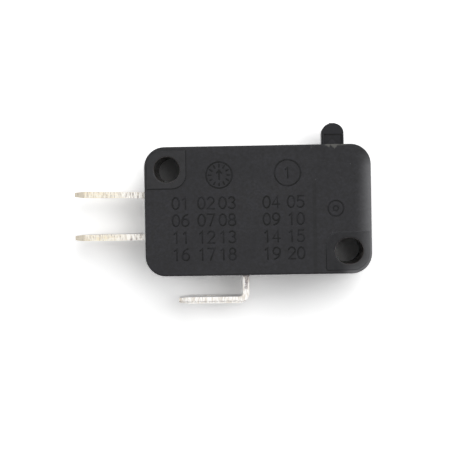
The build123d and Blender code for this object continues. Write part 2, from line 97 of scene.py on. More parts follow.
# ------------------------------------------------------------------------------ node materials
class Graph:
    """Short calls that add nodes to one node tree; a value is a number, a colour or an output."""

    def __init__(self, tree):
        self.tree = tree

    def feed(self, socket, value):
        """Puts a constant or another node's output into an input."""
        if isinstance(value, bpy.types.NodeSocket):
            self.tree.links.new(value, socket)
        else:
            socket.default_value = value

    def node(self, kind, values=(), **settings):
        """A new node with these settings; values are pairs of input and value."""
        made = self.tree.nodes.new(kind)
        for key, value in settings.items():
            setattr(made, key, value)
        for key, value in values:
            self.feed(made.inputs[key], value)
        return made

    def math(self, operation, a, b=0.0):
        """One arithmetic step; an operation on one value leaves out the second."""
        return self.node("ShaderNodeMath", [(0, a), (1, b)], operation=operation).outputs[0]

    def plus(self, a, b):
        """a + b."""
        return self.math("ADD", a, b)

    def minus(self, a, b):
        """a - b."""
        return self.math("SUBTRACT", a, b)

    def times(self, first, *others):
        """The product of all values."""
        product = first
        for other in others:
            product = self.math("MULTIPLY", product, other)
        return product

    def larger(self, a, b):
        """The larger of two values."""
        return self.math("MAXIMUM", a, b)

    def smaller(self, a, b):
        """The smaller of two values."""
        return self.math("MINIMUM", a, b)

    def size(self, a):
        """The value without its sign."""
        return self.math("ABSOLUTE", a)

    def length(self, a, b):
        """The root of a squared plus b squared."""
        return self.math("SQRT", self.plus(self.math("POWER", a, 2.0), self.math("POWER", b, 2.0)))

    def remap(self, value, low, high, to_low, to_high, smooth=False):
        """value from low..high to to_low..to_high, clamped, with a soft step where smooth is set."""
        return self.node(
            "ShaderNodeMapRange",
            [("Value", value), (1, low), (2, high), (3, to_low), (4, to_high)],
            interpolation_type="SMOOTHSTEP" if smooth else "LINEAR",
        ).outputs["Result"]


class Finish(Graph):
    """A material under construction: its Principled shader, its Object coordinates and its patterns."""

    def __init__(self, name):
        self.material = bpy.data.materials.new(name)
        self.material.use_nodes = True
        super().__init__(self.material.node_tree)
        self.shader = self.tree.nodes["Principled BSDF"]
        coordinates = self.node("ShaderNodeTexCoord")
        self.place = coordinates.outputs["Object"]
        self.facing = coordinates.outputs["Normal"]

    def axis(self, name, source=None):
        """One component of the object coordinates, or of another vector."""
        return self.node("ShaderNodeSeparateXYZ", [("Vector", source or self.place)]).outputs[name]

    def noise(self, sizes, detail=3.0, rough=0.55):
        """Smooth random values about 0.5, with features of about this size, or these along X, Y and Z."""
        if isinstance(sizes, float):
            sizes = (sizes, sizes, sizes)
        scale = tuple(1.0 / size for size in sizes)
        mapping = self.node("ShaderNodeMapping", [("Vector", self.place), ("Scale", scale)])
        stretched = mapping.outputs["Vector"]
        values = [("Vector", stretched), ("Scale", 1.0), ("Detail", detail), ("Roughness", rough)]
        return self.node("ShaderNodeTexNoise", values).outputs["Fac"]

    def blend(self, share, first, second):
        """The first colour where share is 0 and the second where it is 1."""
        mix = self.node("ShaderNodeMix", data_type="RGBA")
        self.feed(mix.inputs[0], share)
        self.feed(mix.inputs[6], first)
        self.feed(mix.inputs[7], second)
        return mix.outputs[2]

    def bump(self, height, distance, strength=1.0, under=None):
        """A relief of this height map, over another relief if one is given."""
        values = [("Height", height), ("Distance", distance), ("Strength", strength)]
        if under is not None:
            values.append(("Normal", under))
        return self.node("ShaderNodeBump", values).outputs["Normal"]

    def set(self, **inputs):
        """Feeds the shader's inputs; an underscore stands for a space."""
        for key, value in inputs.items():
            self.feed(self.shader.inputs[key.replace("_", " ")], value)


def rgb(red, green, blue):
    """A linear colour."""
    return (red, green, blue, 1.0)


def grey(level):
    """A neutral linear colour."""
    return rgb(level, level, level)


def band(f, value, centre, half_width, softness):
    """1 within half_width of centre and 0 past a soft edge on both sides."""
    offset = f.size(f.minus(value, centre))
    return f.remap(offset, half_width, half_width + softness, 1.0, 0.0, smooth=True)


# ------------------------------------------------------------------ places on the moulded housing
def corner_distance(f, corner, way):
    """Distance outside a rounded corner, in metres, negative inside it.

    The shape is a quarter plane with one rounded corner at this point; way holds the signs of X and
    Y that lead out of it. With q the offset from the centre of the rounding, taken outwards, the
    distance is |max(q, 0)| + min(max(qx, qy), 0) - PAD_ROUNDING.
    """
    outwards = []
    for index, name in enumerate("XY"):
        centre = corner[index] - way[index] * PAD_ROUNDING
        outwards.append(f.times(f.minus(f.axis(name), centre), way[index]))
    beyond = f.length(*[f.larger(q, 0.0) for q in outwards])
    within = f.smaller(f.larger(*outwards), 0.0)
    return f.minus(f.plus(beyond, within), PAD_ROUNDING)


def pad_distance(f):
    """Distance outside the nearer of the two corner pads of the cover, negative on the pads.

    A pad's distance is the largest of those outside its rounded corner and past its outer edges.
    """
    distances = []
    for corner, way, outer_edges in PADS:
        away = corner_distance(f, corner, way)
        for index, name in enumerate("XY"):
            past = f.times(f.minus(f.axis(name), outer_edges[index]), -way[index])
            away = f.larger(away, past)
        distances.append(away)
    return f.smaller(*distances)


def pad_top(f, x_edge, y_edge):
    """1 on the top of the corner pad that lies past these two soft edges."""
    across = f.remap(f.axis("X"), x_edge[0], x_edge[1], 0.0, 1.0)
    along = f.remap(f.axis("Y"), y_edge[0], y_edge[1], 0.0, 1.0)
    top = f.remap(f.axis("Z"), cover_top + 0.05 * MM, cover_top + 0.12 * MM, 0.0, 1.0)
    return f.times(across, along, top)


def from_hole(f, centre, half_slot):
    """Distance from the axis of a mounting hole, or from the short line between a slot's two axes."""
    aside = f.larger(f.minus(f.size(f.minus(f.axis("X"), centre[0])), half_slot), 0.0)
    return f.length(aside, f.minus(f.axis("Y"), centre[1]))


def end_painted_sheen(f):
    """Painted sheen at the plunger's end of the cover: a pale painted highlight from 0 well inside to 1 at
    the rounded edge.

    It follows the outline: with q the offset from the centres of the end's two rounded corners, the
    share is (|q| - 0.1 mm) / 2.4 mm to the power 2.4. It lies only on faces that look up, is weaker
    on the pad, and fades out away from the end and towards the corner beside the plunger.
    """
    qx = f.larger(f.minus(f.axis("X"), case_high[0] - CORNER_ROUNDING), 0.0)
    half_depth = case_high[1] - case_middle[1]
    qy = f.size(f.minus(f.axis("Y"), case_middle[1]))
    qy = f.larger(f.minus(qy, half_depth - CORNER_ROUNDING), 0.0)
    reach = f.remap(f.length(qx, qy), 0.1 * MM, CORNER_ROUNDING, 0.0, 1.0)
    share = f.math("POWER", reach, 2.4)
    # it starts further in along the lower edge than along the upper, so the start line leans
    leaning = f.minus(f.axis("X"), f.times(f.axis("Y"), 0.12))
    start = case_high[0] - CORNER_ROUNDING
    started = f.remap(leaning, start, start + 2.0 * MM, 0.0, 1.0, smooth=True)
    off_pad = f.remap(f.axis("Z"), cover_top + 0.05 * MM, cover_top + 0.12 * MM, 1.0, 0.7)
    off_corner = f.remap(f.axis("Y"), 2.2 * MM, -0.4 * MM, 0.0, 1.0, smooth=True)
    level = f.remap(f.axis("Z", f.facing), 0.2, 0.8, 0.0, 1.0)
    return f.times(share, f.times(started, off_pad, off_corner), level)


def tear(f, x, tip_y, half_width):
    """A pale tear that starts at the long edge with this half width and narrows to nothing at tip_y."""
    aside = f.size(f.minus(f.axis("X"), x))
    ragged = f.remap(f.noise((0.16 * MM, 0.20 * MM, 0.4 * MM)), 0.3, 0.7, -0.13 * MM, 0.13 * MM)
    room = f.remap(f.axis("Y"), tip_y, case_high[1], -0.08 * MM, half_width)
    inside = f.minus(room, f.plus(aside, ragged))
    return f.remap(inside, 0.0, 0.24 * MM, 0.0, 1.0, smooth=True)


def edge_scuffs(f):
    """Where the plunger's slot was deflashed: a torn pale line on the edge, with two tears into the face."""
    left_tear = tear(f, 19.84 * MM, 2.14 * MM, 0.46 * MM)
    right_tear = tear(f, 20.58 * MM, 2.06 * MM, 0.66 * MM)
    along = band(f, f.axis("X"), 20.7 * MM, 1.1 * MM, 0.4 * MM)
    edge = f.remap(f.axis("Y"), 2.56 * MM, 2.70 * MM, 0.0, 0.75, smooth=True)
    ragged = f.remap(f.noise((0.3 * MM, 2.0 * MM, 0.5 * MM)), 0.38, 0.52, 0.2, 1.0)
    pale = f.larger(f.larger(left_tear, right_tear), f.times(along, edge, ragged))
    # only on the face and its rounded edge, never down the side wall
    return f.times(pale, f.remap(f.axis("Z"), cover_top - 0.45 * MM, cover_top - 0.2 * MM, 0.0, 1.0))


# the X, the Y and the radius of each speck of dust, in millimetres
SPECKS = (
    (17.75, 2.45, 0.09),
    (18.2, -1.5, 0.08),
    (22.5, 0.35, 0.06),
    (16.85, -3.75, 0.06),
    (20.2, -8.0, 0.07),
)


def specks(f):
    """Tiny pale spots of dust on the cover."""
    total = 0.0
    for x, y, radius in SPECKS:
        away = f.length(f.minus(f.axis("X"), x * MM), f.minus(f.axis("Y"), y * MM))
        spot = f.remap(away, 0.4 * radius * MM, 1.3 * radius * MM, 1.0, 0.0, smooth=True)
        total = f.larger(spot, total)
    return total


def on_face(f):
    """1 on the cover's face and its pads, and 0 below."""
    return f.remap(f.axis("Z"), cover_top - 0.2 * MM, cover_top - 0.1 * MM, 0.0, 1.0)


def pad_painted_lines(f, away, right_side):
    """The shares of the painted shade along the base of each pad and of the painted highlight on its top
    edge.

    The upper side of the right pad, where light falls, has no painted shade, and its painted highlight is
    the strongest.
    """
    lit = f.times(right_side, f.remap(f.axis("Y"), -11.0 * MM, -9.5 * MM, 0.0, 1.0))
    painted_foot_shade = f.times(band(f, away, 0.03 * MM, 0.035 * MM, 0.05 * MM), on_face(f))
    painted_crest_highlight = f.times(band(f, away, -0.05 * MM, 0.035 * MM, 0.05 * MM), on_face(f))
    return f.times(painted_foot_shade, f.remap(lit, 0.0, 1.0, 0.75, 0.0)), f.times(painted_crest_highlight, f.remap(lit, 0.0, 1.0, 0.2, 0.8))


# ---------------------------------------------------------------------------- moulded plastics
def flow_mottling(f, mottle):
    """Near black with fine mottling, warm tints, large dark clouds and a few pale flecks."""
    cloud = f.noise((4.5 * MM, 3.5 * MM, 4.0 * MM))
    tint = f.noise(0.5 * MM, detail=2.0)
    flecks = f.noise(0.13 * MM, detail=1.0)
    dark, pale = rgb(0.0014, 0.0014, 0.0032), rgb(0.0150, 0.0150, 0.0190)
    tone = f.blend(f.remap(mottle, 0.32, 0.68, 0.0, 1.0), dark, pale)
    tone = f.blend(f.remap(tint, 0.35, 0.65, 0.0, 0.30), tone, rgb(0.0150, 0.0140, 0.0110))
    tone = f.blend(f.remap(cloud, 0.38, 0.62, 0.0, 0.55), tone, rgb(0.0030, 0.0030, 0.0045))
    return f.blend(f.remap(flecks, 0.72, 0.78, 0.0, 0.5), tone, grey(0.05))


def shaded_parts(f, tone):
    """The tone with its larger shades: the right third, both pads, one sink line and the dust."""
    right_third = f.remap(f.axis("X"), 15.5 * MM, 20.0 * MM, 0.0, 0.24, smooth=True)
    tone = f.blend(right_third, tone, rgb(0.0015, 0.0015, 0.0030))
    right_pad = pad_top(f, (19.1 * MM, 19.5 * MM), (-7.7 * MM, -8.1 * MM))
    tone = f.blend(f.times(right_pad, 0.85), tone, rgb(0.0012, 0.0012, 0.0025))
    left_pad = pad_top(f, (2.5 * MM, 2.3 * MM), (-2.5 * MM, -2.3 * MM))
    tone = f.blend(f.times(left_pad, 0.5), tone, rgb(0.0180, 0.0180, 0.0190))
    # a faint sink line runs down from beside the plunger's channel
    sink = band(f, f.axis("X"), 18.05 * MM, 0.12 * MM, 0.22 * MM)
    sink = f.times(sink, f.remap(f.axis("Y"), -1.0 * MM, -3.0 * MM, 0.0, 0.8, smooth=True))
    tone = f.blend(sink, tone, rgb(0.0010, 0.0010, 0.0018))
    return f.blend(f.times(specks(f), 0.8), tone, grey(0.045))


def housing_relief(f, mottle, away, from_axis, seam):
    """The seam groove over mottling and grain, over the eased edges of the holes and of the pads."""
    eased_pads = f.times(f.remap(away, -0.12 * MM, 0.03 * MM, 1.0, 0.0, smooth=True), on_face(f))
    eased_holes = f.remap(from_axis, hole_radius, hole_radius + 0.16 * MM, 0.0, 1.0, smooth=True)
    grain = f.noise(0.09 * MM, rough=0.65)
    relief = f.bump(eased_pads, 0.06 * MM)
    relief = f.bump(eased_holes, 0.05 * MM, under=relief)
    relief = f.bump(grain, 0.006 * MM, 0.7, under=relief)
    relief = f.bump(mottle, 0.015 * MM, 0.5, under=relief)
    return f.bump(f.minus(1.0, seam), 0.03 * MM, 0.8, under=relief)


def moulded_housing():
    """Matt black thermoset: spark-eroded grain, flow mottling, dust, scuffs, a painted sheen at the
    plunger's end, painted shade and painted highlight lines round the pads, seam lines, and hole walls
    painted paler.
    """
    f = Finish("moulded_housing")
    mottle = f.noise((0.34 * MM, 0.30 * MM, 0.34 * MM), detail=4.0, rough=0.7)
    right_side = f.remap(f.axis("X"), 10.0 * MM, 11.0 * MM, 0.0, 1.0)
    away = pad_distance(f)
    painted_foot_shade, painted_crest_highlight = pad_painted_lines(f, away, right_side)
    # the line where cover and case meet, which holds a little dust
    seam = band(f, f.axis("Z"), seam_z, 0.045 * MM, 0.03 * MM)
    # haze here is painted sheen: a pale painted highlight at the plunger's end of the cover
    haze = f.times(end_painted_sheen(f), f.remap(mottle, 0.3, 0.7, 0.9, 1.0))
    # the walls of the mounting holes are polished, and painted paler and warmer than the face as painted
    # light inside the holes, the round hole's more than the slot's
    from_axis = f.smaller(from_hole(f, round_hole, 0.0), from_hole(f, slot_hole, SLOT_HALF))
    wall = f.remap(from_axis, hole_radius + 0.01 * MM, hole_radius + 0.04 * MM, 1.0, 0.0)
    wall_painted_light = f.blend(right_side, rgb(0.050, 0.044, 0.040), rgb(0.040, 0.033, 0.030))

    tone = shaded_parts(f, flow_mottling(f, mottle))
    # painted shade along the base of the pads, then a painted highlight on their top edges
    tone = f.blend(painted_foot_shade, tone, grey(0.002))
    tone = f.blend(painted_crest_highlight, tone, rgb(0.048, 0.048, 0.052))
    tone = f.blend(f.times(seam, 0.8), tone, grey(0.004))
    tone = f.blend(edge_scuffs(f), tone, rgb(0.078, 0.078, 0.072))
    # the painted sheen at the plunger's end
    tone = f.blend(haze, tone, rgb(0.176, 0.177, 0.184))
    f.set(Base_Color=f.blend(wall, tone, wall_painted_light), Specular_IOR_Level=0.3)
    rough = f.remap(f.noise(0.5 * MM, detail=4.0), 0.3, 0.7, 0.52, 0.68)
    f.set(Roughness=f.minus(f.minus(rough, f.times(wall, 0.36)), f.times(painted_foot_shade, 0.1)))
    f.set(Normal=housing_relief(f, mottle, away, from_axis, seam))
    return f.material


def moulded_marks_painted_shade():
    """The same thermoset on the raised marks, smoother from the polished cavity, and painted darker as
    painted shade over the fine strokes.
    """
    f = Finish("moulded_marks_painted_shade")
    mottle = f.noise(0.4 * MM)
    worn = f.remap(f.noise(1.1 * MM, detail=2.0), 0.44, 0.60, 0.0, 0.75)
    # the dark tones are painted shade on the fine strokes
    tone = f.blend(mottle, grey(0.0015), grey(0.0050))
    f.set(Base_Color=f.blend(worn, tone, rgb(0.0115, 0.0115, 0.0135)), Specular_IOR_Level=0.17)
    f.set(Roughness=f.remap(mottle, 0.3, 0.7, 0.42, 0.55))
    f.set(Normal=f.bump(f.noise(0.08 * MM), 0.004 * MM, 0.6))
    return f.material


def panel_marks_and_painted_lines(f):
    """The dark share and the light share of the marks and painted lines on the plunger's upper face.

    Dark are a painted shadow line at the step above the panel and a faint inverted V. Light are the field
    under the V and a painted highlight line down the left edge of the panel. The V lies where the distance
    from its axis is 1.15 times the drop below its peak.
    """
    aside = f.minus(f.axis("X"), (plunger_low[0] + plunger_high[0]) / 2)
    below_tip = f.minus(plunger_high[1], f.axis("Y"))
    # painted shadow under the step above the panel
    ledge_painted_shadow = f.times(
        band(f, below_tip, 1.55 * MM, 0.04 * MM, 0.08 * MM),
        band(f, aside, -0.02 * MM, 1.0 * MM, 0.08 * MM),
    )
    drop = f.times(f.minus(below_tip, 1.9 * MM), 1.15)
    under = f.minus(drop, f.size(f.plus(aside, 0.06 * MM)))
    legs = f.times(
        band(f, under, 0.0, 0.08 * MM, 0.10 * MM),
        band(f, below_tip, 2.2 * MM, 0.3 * MM, 0.1 * MM),
    )
    field = f.times(
        f.remap(under, 0.08 * MM, 0.3 * MM, 0.0, 0.5, smooth=True),
        band(f, below_tip, 2.4 * MM, 0.35 * MM, 0.15 * MM),
    )
    # painted highlight down the left edge of the panel
    left_edge_painted_highlight = f.times(
        band(f, aside, -1.13 * MM, 0.03 * MM, 0.05 * MM),
        f.remap(below_tip, 1.4 * MM, 1.5 * MM, 0.0, 1.0),
    )
    upper = f.remap(f.axis("Z", f.facing), 0.4, 0.8, 0.0, 1.0)
    dark = f.larger(ledge_painted_shadow, f.times(legs, 0.9))
    return f.times(dark, upper), f.times(f.larger(left_edge_painted_highlight, field), upper)


def plunger_plastic():
    """Smooth black plastic with a cool cast, fine drag lines along its travel and a dull rubbed tip."""
    f = Finish("plunger_plastic")
    cloud = f.noise(0.35 * MM, detail=4.0)
    drag = f.noise((0.08 * MM, 1.6 * MM, 0.08 * MM))
    tip = f.remap(f.axis("Y"), plunger_high[1] - 0.5 * MM, plunger_high[1], 0.0, 1.0, smooth=True)
    # dark holds the painted shadow at the step and the faint V; light holds the painted highlight on the
    # left edge and the pale field
    dark, light = panel_marks_and_painted_lines(f)
    tone = f.blend(cloud, rgb(0.0050, 0.0052, 0.0072), rgb(0.0100, 0.0102, 0.0130))
    tone = f.blend(f.times(light, 0.8), tone, rgb(0.026, 0.025, 0.029))
    tone = f.blend(f.times(dark, 0.8), tone, grey(0.001))
    f.set(Base_Color=tone, Specular_IOR_Level=0.2)
    rough = f.plus(f.remap(drag, 0.3, 0.7, 0.40, 0.54), f.times(tip, 0.12))
    f.set(Roughness=f.minus(rough, f.times(dark, 0.05)))
    f.set(Normal=f.bump(drag, 0.006 * MM, 0.5))
    return f.material


# --------------------------------------------------------------------------------------- metals
def shear_lines(f):
    """Fine uneven lines that the shearing left across a terminal's edge."""
    return f.noise((0.13 * MM, 0.8 * MM, 0.8 * MM), rough=0.65)


def sheared_tone(f, clean, stained):
    """The colour of a whole sheared edge: clean and stained patches, whiter inside, lined across."""
    stain = f.noise((0.5 * MM, 0.22 * MM, 0.5 * MM))
    tone = f.blend(f.remap(stain, 0.42, 0.62, 0.0, 1.0), clean, stained)
    # whiter where the housing has kept it from tarnish
    kept = f.remap(f.axis("X"), -8.0 * MM, -4.5 * MM, 0.0, 0.8, smooth=True)
    tone = f.blend(kept, tone, rgb(0.84, 0.83, 0.81))
    return f.blend(f.remap(shear_lines(f), 0.45, 0.58, 0.0, 0.7), tone, rgb(0.52, 0.46, 0.38))


def tinned_strip(name, torn, tip, clean, stained):
    """Tin-plated brass: bright satin flats, and creamy sheared edges with fine lines and torn flecks.

    torn(f) gives the share of torn metal over the sheared edge of this terminal, with painted shadow of the
    case on the bent terminal, and tip(f) that of a darker beige at its tapered tip, painted shade of the
    taper. clean and stained are the two colours of the edge.
    """
    f = Finish(name)
    # 1 on the two sheared sides, which face along Z, and 0 on the plated flats
    sheared = f.remap(f.size(f.axis("Z", f.facing)), 0.35, 0.65, 0.0, 1.0)
    plated = f.minus(1.0, sheared)
    grit = f.noise(0.08 * MM, detail=2.0, rough=0.7)
    satin = f.noise((1.6 * MM, 0.25 * MM, 0.25 * MM))
    tin = f.blend(satin, rgb(0.60, 0.595, 0.58), rgb(0.76, 0.755, 0.745))
    tip_painted_shade_tone = f.blend(grit, rgb(0.47, 0.42, 0.34), rgb(0.66, 0.60, 0.49))
    torn_metal_and_painted_shadow = f.blend(grit, rgb(0.13, 0.12, 0.13), rgb(0.40, 0.36, 0.35))
    # a darker beige over the tapered tip: painted shade of the taper
    edge = f.blend(tip(f), sheared_tone(f, clean, stained), tip_painted_shade_tone)
    # torn metal, and on the bent terminal painted shadow of the case, in one dark tone
    edge = f.blend(torn(f), edge, torn_metal_and_painted_shadow)
    f.set(Base_Color=f.blend(sheared, tin, edge))
    f.set(Metallic=f.remap(sheared, 0.0, 1.0, 1.0, 0.55))
    smooth = f.times(plated, f.remap(satin, 0.3, 0.7, 0.12, 0.20))
    rough = f.times(sheared, f.remap(grit, 0.3, 0.7, 0.42, 0.60))
    f.set(Roughness=f.plus(smooth, rough))
    relief = f.bump(satin, 0.003 * MM, 0.5)
    relief = f.bump(f.times(shear_lines(f), sheared), 0.03 * MM, 0.6, under=relief)
    f.set(Normal=f.bump(f.times(grit, sheared), 0.015 * MM, 0.6, under=relief))
    return f.material


def straight_tears(f):
    """Torn flecks across a straight tab's edge, few at the tip and many at the housing."""
    patches = f.remap(f.noise((0.9 * MM, 0.35 * MM, 0.9 * MM), detail=2.0), 0.42, 0.60, 0.0, 1.0)
    closer = f.remap(f.axis("X"), straight_end + 1.7 * MM, straight_end + 8.3 * MM, 0.35, 1.0)
    flecks = f.remap(shear_lines(f), 0.50, 0.60, 0.0, 1.0)
    return f.times(patches, closer, flecks)


def straight_tip_painted_shade(f):
    """0.9 of painted shade over the last 1.1 mm of a straight tab, and 0 past a short fade."""
    return f.remap(f.axis("X"), straight_end + 1.1 * MM, straight_end + 1.45 * MM, 0.9, 0.0, smooth=True)


def bent_tears_and_painted_shadow(f):
    """Torn metal in a lane along the bent terminal's run, and painted shadow of the case up the middle of
    its neck and at its root.
    """
    lane = band(f, f.axis("Y"), bent_low[1] + 0.24 * MM, 0.07 * MM, 0.07 * MM)
    broken = f.remap(f.noise((0.22 * MM, 0.12 * MM, 0.3 * MM)), 0.44, 0.54, 0.0, 0.65)
    # the painted shadow leans as it goes up the neck, and ends above the bend
    leaning = f.minus(f.axis("X"), f.times(f.axis("Y"), 0.10))
    neck = band(f, leaning, 10.93 * MM, 0.17 * MM, 0.06 * MM)
    above_bend = f.remap(f.axis("Y"), -15.15 * MM, -14.7 * MM, 0.0, 1.0, smooth=True)
    speckled = f.remap(f.noise((0.12 * MM, 0.16 * MM, 0.3 * MM), detail=2.0), 0.42, 0.54, 0.3, 1.0)
    # painted shadow of the case where the neck leaves it
    root = f.remap(f.axis("Y"), -13.42 * MM, -13.22 * MM, 0.0, 1.0, smooth=True)
    return f.larger(f.larger(f.times(lane, broken), f.times(neck, above_bend, speckled)), root)


def bent_tip_painted_shade(f):
    """0.35 of painted shade at the tapered end of the bent tab, which is paler than the straight tips, and 0
    past a fade.
    """
    end = bent_low[0]
    return f.remap(f.axis("X"), end + 0.13 * MM, end + 0.63 * MM, 0.35, 0.0, smooth=True)


def straight_tab_tin():
    """The tin of the two straight terminals, with creamy edges."""
    clean, stained = rgb(0.78, 0.745, 0.66), rgb(0.75, 0.675, 0.52)
    return tinned_strip("tinned_strip", straight_tears, straight_tip_painted_shade, clean, stained)


def bent_tab_tin():
    """The tin of the bent terminal, with whiter edges."""
    clean, stained = rgb(0.86, 0.85, 0.83), rgb(0.82, 0.79, 0.74)
    return tinned_strip("tinned_bent_strip", bent_tears_and_painted_shadow, bent_tip_painted_shade, clean, stained)


def silver_rivet():
    """Soft silver alloy with turned rings on its head, slightly tarnished."""
    f = Finish("silver_rivet")
    haze = f.noise(0.4 * MM, detail=4.0)
    f.set(Metallic=1.0, Base_Color=f.blend(haze, rgb(0.86, 0.85, 0.81), rgb(0.70, 0.66, 0.58)))
    f.set(Roughness=f.remap(haze, 0.3, 0.7, 0.18, 0.4))
    f.set(Normal=f.bump(f.noise((0.05 * MM, 0.8 * MM, 0.05 * MM)), 0.003 * MM, 0.6))
    return f.material


def rolled_strip(name, first, second):
    """Rolled metal strip with fine lines along X and a patchy sheen, between two colours."""
    f = Finish(name)
    lines = f.noise((3.0 * MM, 0.05 * MM, 0.05 * MM))
    patch = f.noise(0.9 * MM)
    f.set(Metallic=1.0, Base_Color=f.blend(patch, first, second))
    f.set(Roughness=f.remap(f.times(lines, patch), 0.1, 0.5, 0.2, 0.42))
    f.set(Normal=f.bump(lines, 0.003 * MM, 0.6))
    return f.material


# -------------------------------------------------------------------------- raised mould marks
BEAD_HALF_WIDTH = 0.082 * MM
BEAD_HALF_HEIGHT = 0.06 * MM
BEAD_SIDES = 8
CAP_RINGS = 3


def arc(x, y, rx, ry, start, stop, count=18):
    """Points (x + rx cos t, y + ry sin t) with t from start to stop in degrees."""
    t = np.radians(np.linspace(start, stop, count))
    return np.stack([x + rx * np.cos(t), y + ry * np.sin(t)], axis=1)


def ring(centre, radius, count):
    """A whole round of this many points, from the top and back to it."""
    return arc(centre[0], centre[1], radius, radius, 90, 450, count)


def line(*points):
    """The corner points of a straight-sided stroke."""
    return np.array(points, float)


# each numeral as strokes in a cell 0.6 wide and 1 high
NUMERALS = {
    "0": [arc(0.3, 0.5, 0.3, 0.5, 90, 450, 28)],
    "1": [line((0.12, 0.80), (0.34, 1.0), (0.34, 0.0))],
    "2": [np.vstack([arc(0.3, 0.72, 0.28, 0.28, 165, -35), line((0.02, 0.0), (0.6, 0.0))])],
    "3": [np.vstack([arc(0.28, 0.76, 0.25, 0.24, 150, -80), arc(0.28, 0.26, 0.30, 0.26, 80, -150)])],
    "4": [line((0.44, 0.0), (0.44, 1.0), (0.0, 0.30), (0.6, 0.30))],
    "5": [np.vstack([line((0.54, 1.0), (0.10, 1.0), (0.06, 0.56)), arc(0.28, 0.32, 0.31, 0.32, 125, -150)])],
    "6": [np.vstack([arc(0.55, 0.32, 0.55, 0.68, 95, 170), arc(0.3, 0.31, 0.3, 0.31, 180, 540, 26)])],
    "7": [line((0.0, 1.0), (0.6, 1.0), (0.22, 0.0))],
    "8": [arc(0.3, 0.76, 0.24, 0.24, -90, 270, 22), arc(0.3, 0.26, 0.3, 0.26, 90, 450, 26)],
    "9": [np.vstack([arc(0.05, 0.68, 0.55, 0.68, -85, -10), arc(0.3, 0.69, 0.3, 0.31, 0, 360, 26)])],
}


def path_directions(path):
    """The unit direction at each point of a flat path, and how much wider the bead is there.

    At a corner the direction is halfway between both runs. The side of the bead is longer there, by
    one over the cosine of half the turn and at most 1.6, so that the bead keeps its width.
    """
    steps = np.diff(path, axis=0)
    steps /= np.linalg.norm(steps, axis=1, keepdims=True)
    along = np.vstack([steps[:1], steps[:-1] + steps[1:], steps[-1:]])
    length = np.linalg.norm(along, axis=1)
    widening = np.concatenate([[1.0], np.clip(2.0 / length[1:-1], 1.0, 1.6), [1.0]])
    return along / length[:, None], widening


def bead_points(path):
    """Points of a closed bead along a flat path on the cover: rings of BEAD_SIDES, then two poles.

    Its section is an ellipse: side BEAD_HALF_WIDTH cos a, up BEAD_HALF_HEIGHT sin a. Past each end
    the section shrinks as cos b while it runs on by BEAD_HALF_WIDTH sin b, so the end is a rounded
    nose with one pole.
    """
    along, widening = path_directions(path)
    a = 2 * np.pi * np.arange(BEAD_SIDES) / BEAD_SIDES
    b = np.pi / 2 * np.arange(CAP_RINGS, 0, -1) / (CAP_RINGS + 1)
    nose = BEAD_HALF_WIDTH * np.sin(b)[:, None]
    centres = np.vstack([path[0] - along[0] * nose, path, path[-1] + along[-1] * nose[::-1]])
    forward = np.vstack([np.repeat(along[:1], CAP_RINGS, 0), along, np.repeat(along[-1:], CAP_RINGS, 0)])
    side = np.stack([forward[:, 1], -forward[:, 0]], axis=1)
    grow = np.concatenate([np.cos(b), np.ones(len(path)), np.cos(b)[::-1]])
    widen = np.pad(widening, CAP_RINGS, constant_values=1.0)
    across = BEAD_HALF_WIDTH * (grow * widen)[:, None] * np.cos(a)
    flat = centres[:, None, :] + side[:, None, :] * across[:, :, None]
    up = cover_top + BEAD_HALF_HEIGHT * grow[:, None] * np.sin(a)
    rings = np.concatenate([flat, up[:, :, None]], axis=2).reshape(-1, 3)
    ends = np.stack([path[0] - along[0] * BEAD_HALF_WIDTH, path[-1] + along[-1] * BEAD_HALF_WIDTH])
    return np.vstack([rings, np.column_stack([ends, [cover_top, cover_top]])])


def bead_faces(ring_count):
    """Corner numbers of a bead's faces: quads between neighbouring rings, and a fan at each pole."""
    side = np.arange(BEAD_SIDES)
    following = (side + 1) % BEAD_SIDES
    near = np.arange(ring_count - 1)[:, None] * BEAD_SIDES
    far = near + BEAD_SIDES
    quads = np.stack([near + side, near + following, far + following, far + side], axis=2)
    last_ring = (ring_count - 1) * BEAD_SIDES
    first_pole = np.full(BEAD_SIDES, ring_count * BEAD_SIDES)
    first_fan = np.stack([first_pole, following, side], axis=1)
    last_fan = np.stack([first_pole + 1, last_ring + side, last_ring + following], axis=1)
    return quads.reshape(-1, 4), np.vstack([first_fan, last_fan])


def piece_of_beads(name, strokes, material):
    """One object of many beads, one along each stroke, which rides on the housing."""
    points, faces, start = [], [], 0
    for path in strokes:
        points.append(bead_points(path))
        quads, fans = bead_faces(len(path) + 2 * CAP_RINGS)
        faces += (quads + start).tolist() + (fans + start).tolist()
        start += len(points[-1])
    mesh = bpy.data.meshes.new(name)
    mesh.from_pydata(np.vstack(points).tolist(), [], faces)
    mesh.polygons.foreach_set("use_smooth", np.ones(len(mesh.polygons), bool))
    mesh.materials.append(material)
    piece = bpy.data.objects.new(name, mesh)
    bpy.context.scene.collection.objects.link(piece)
    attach(piece, "housing")


def numerals(text, x, y, height, pitch):
    """Strokes of a plain number that starts at x on the line y; pitch is from digit to digit."""
    return [
        stroke * height + (x + index * pitch, y)
        for index, digit in enumerate(text)
        for stroke in NUMERALS[digit]
    ]


def number_grid():
    """Plain counting numbers in four rows: three in the left block and two in the right of each."""
    height, pitch = 1.42 * MM, 1.14 * MM
    first_line, row_pitch = -4.86 * MM, 2.1 * MM
    columns = [0.6 * MM, 3.75 * MM, 6.35 * MM, 11.75 * MM, 14.75 * MM]
    strokes = []
    for row in range(4):
        for column, x in enumerate(columns):
            number = row * len(columns) + column + 1
            strokes += numerals(f"{number:02d}", x, first_line - row * row_pitch, height, pitch)
    return strokes


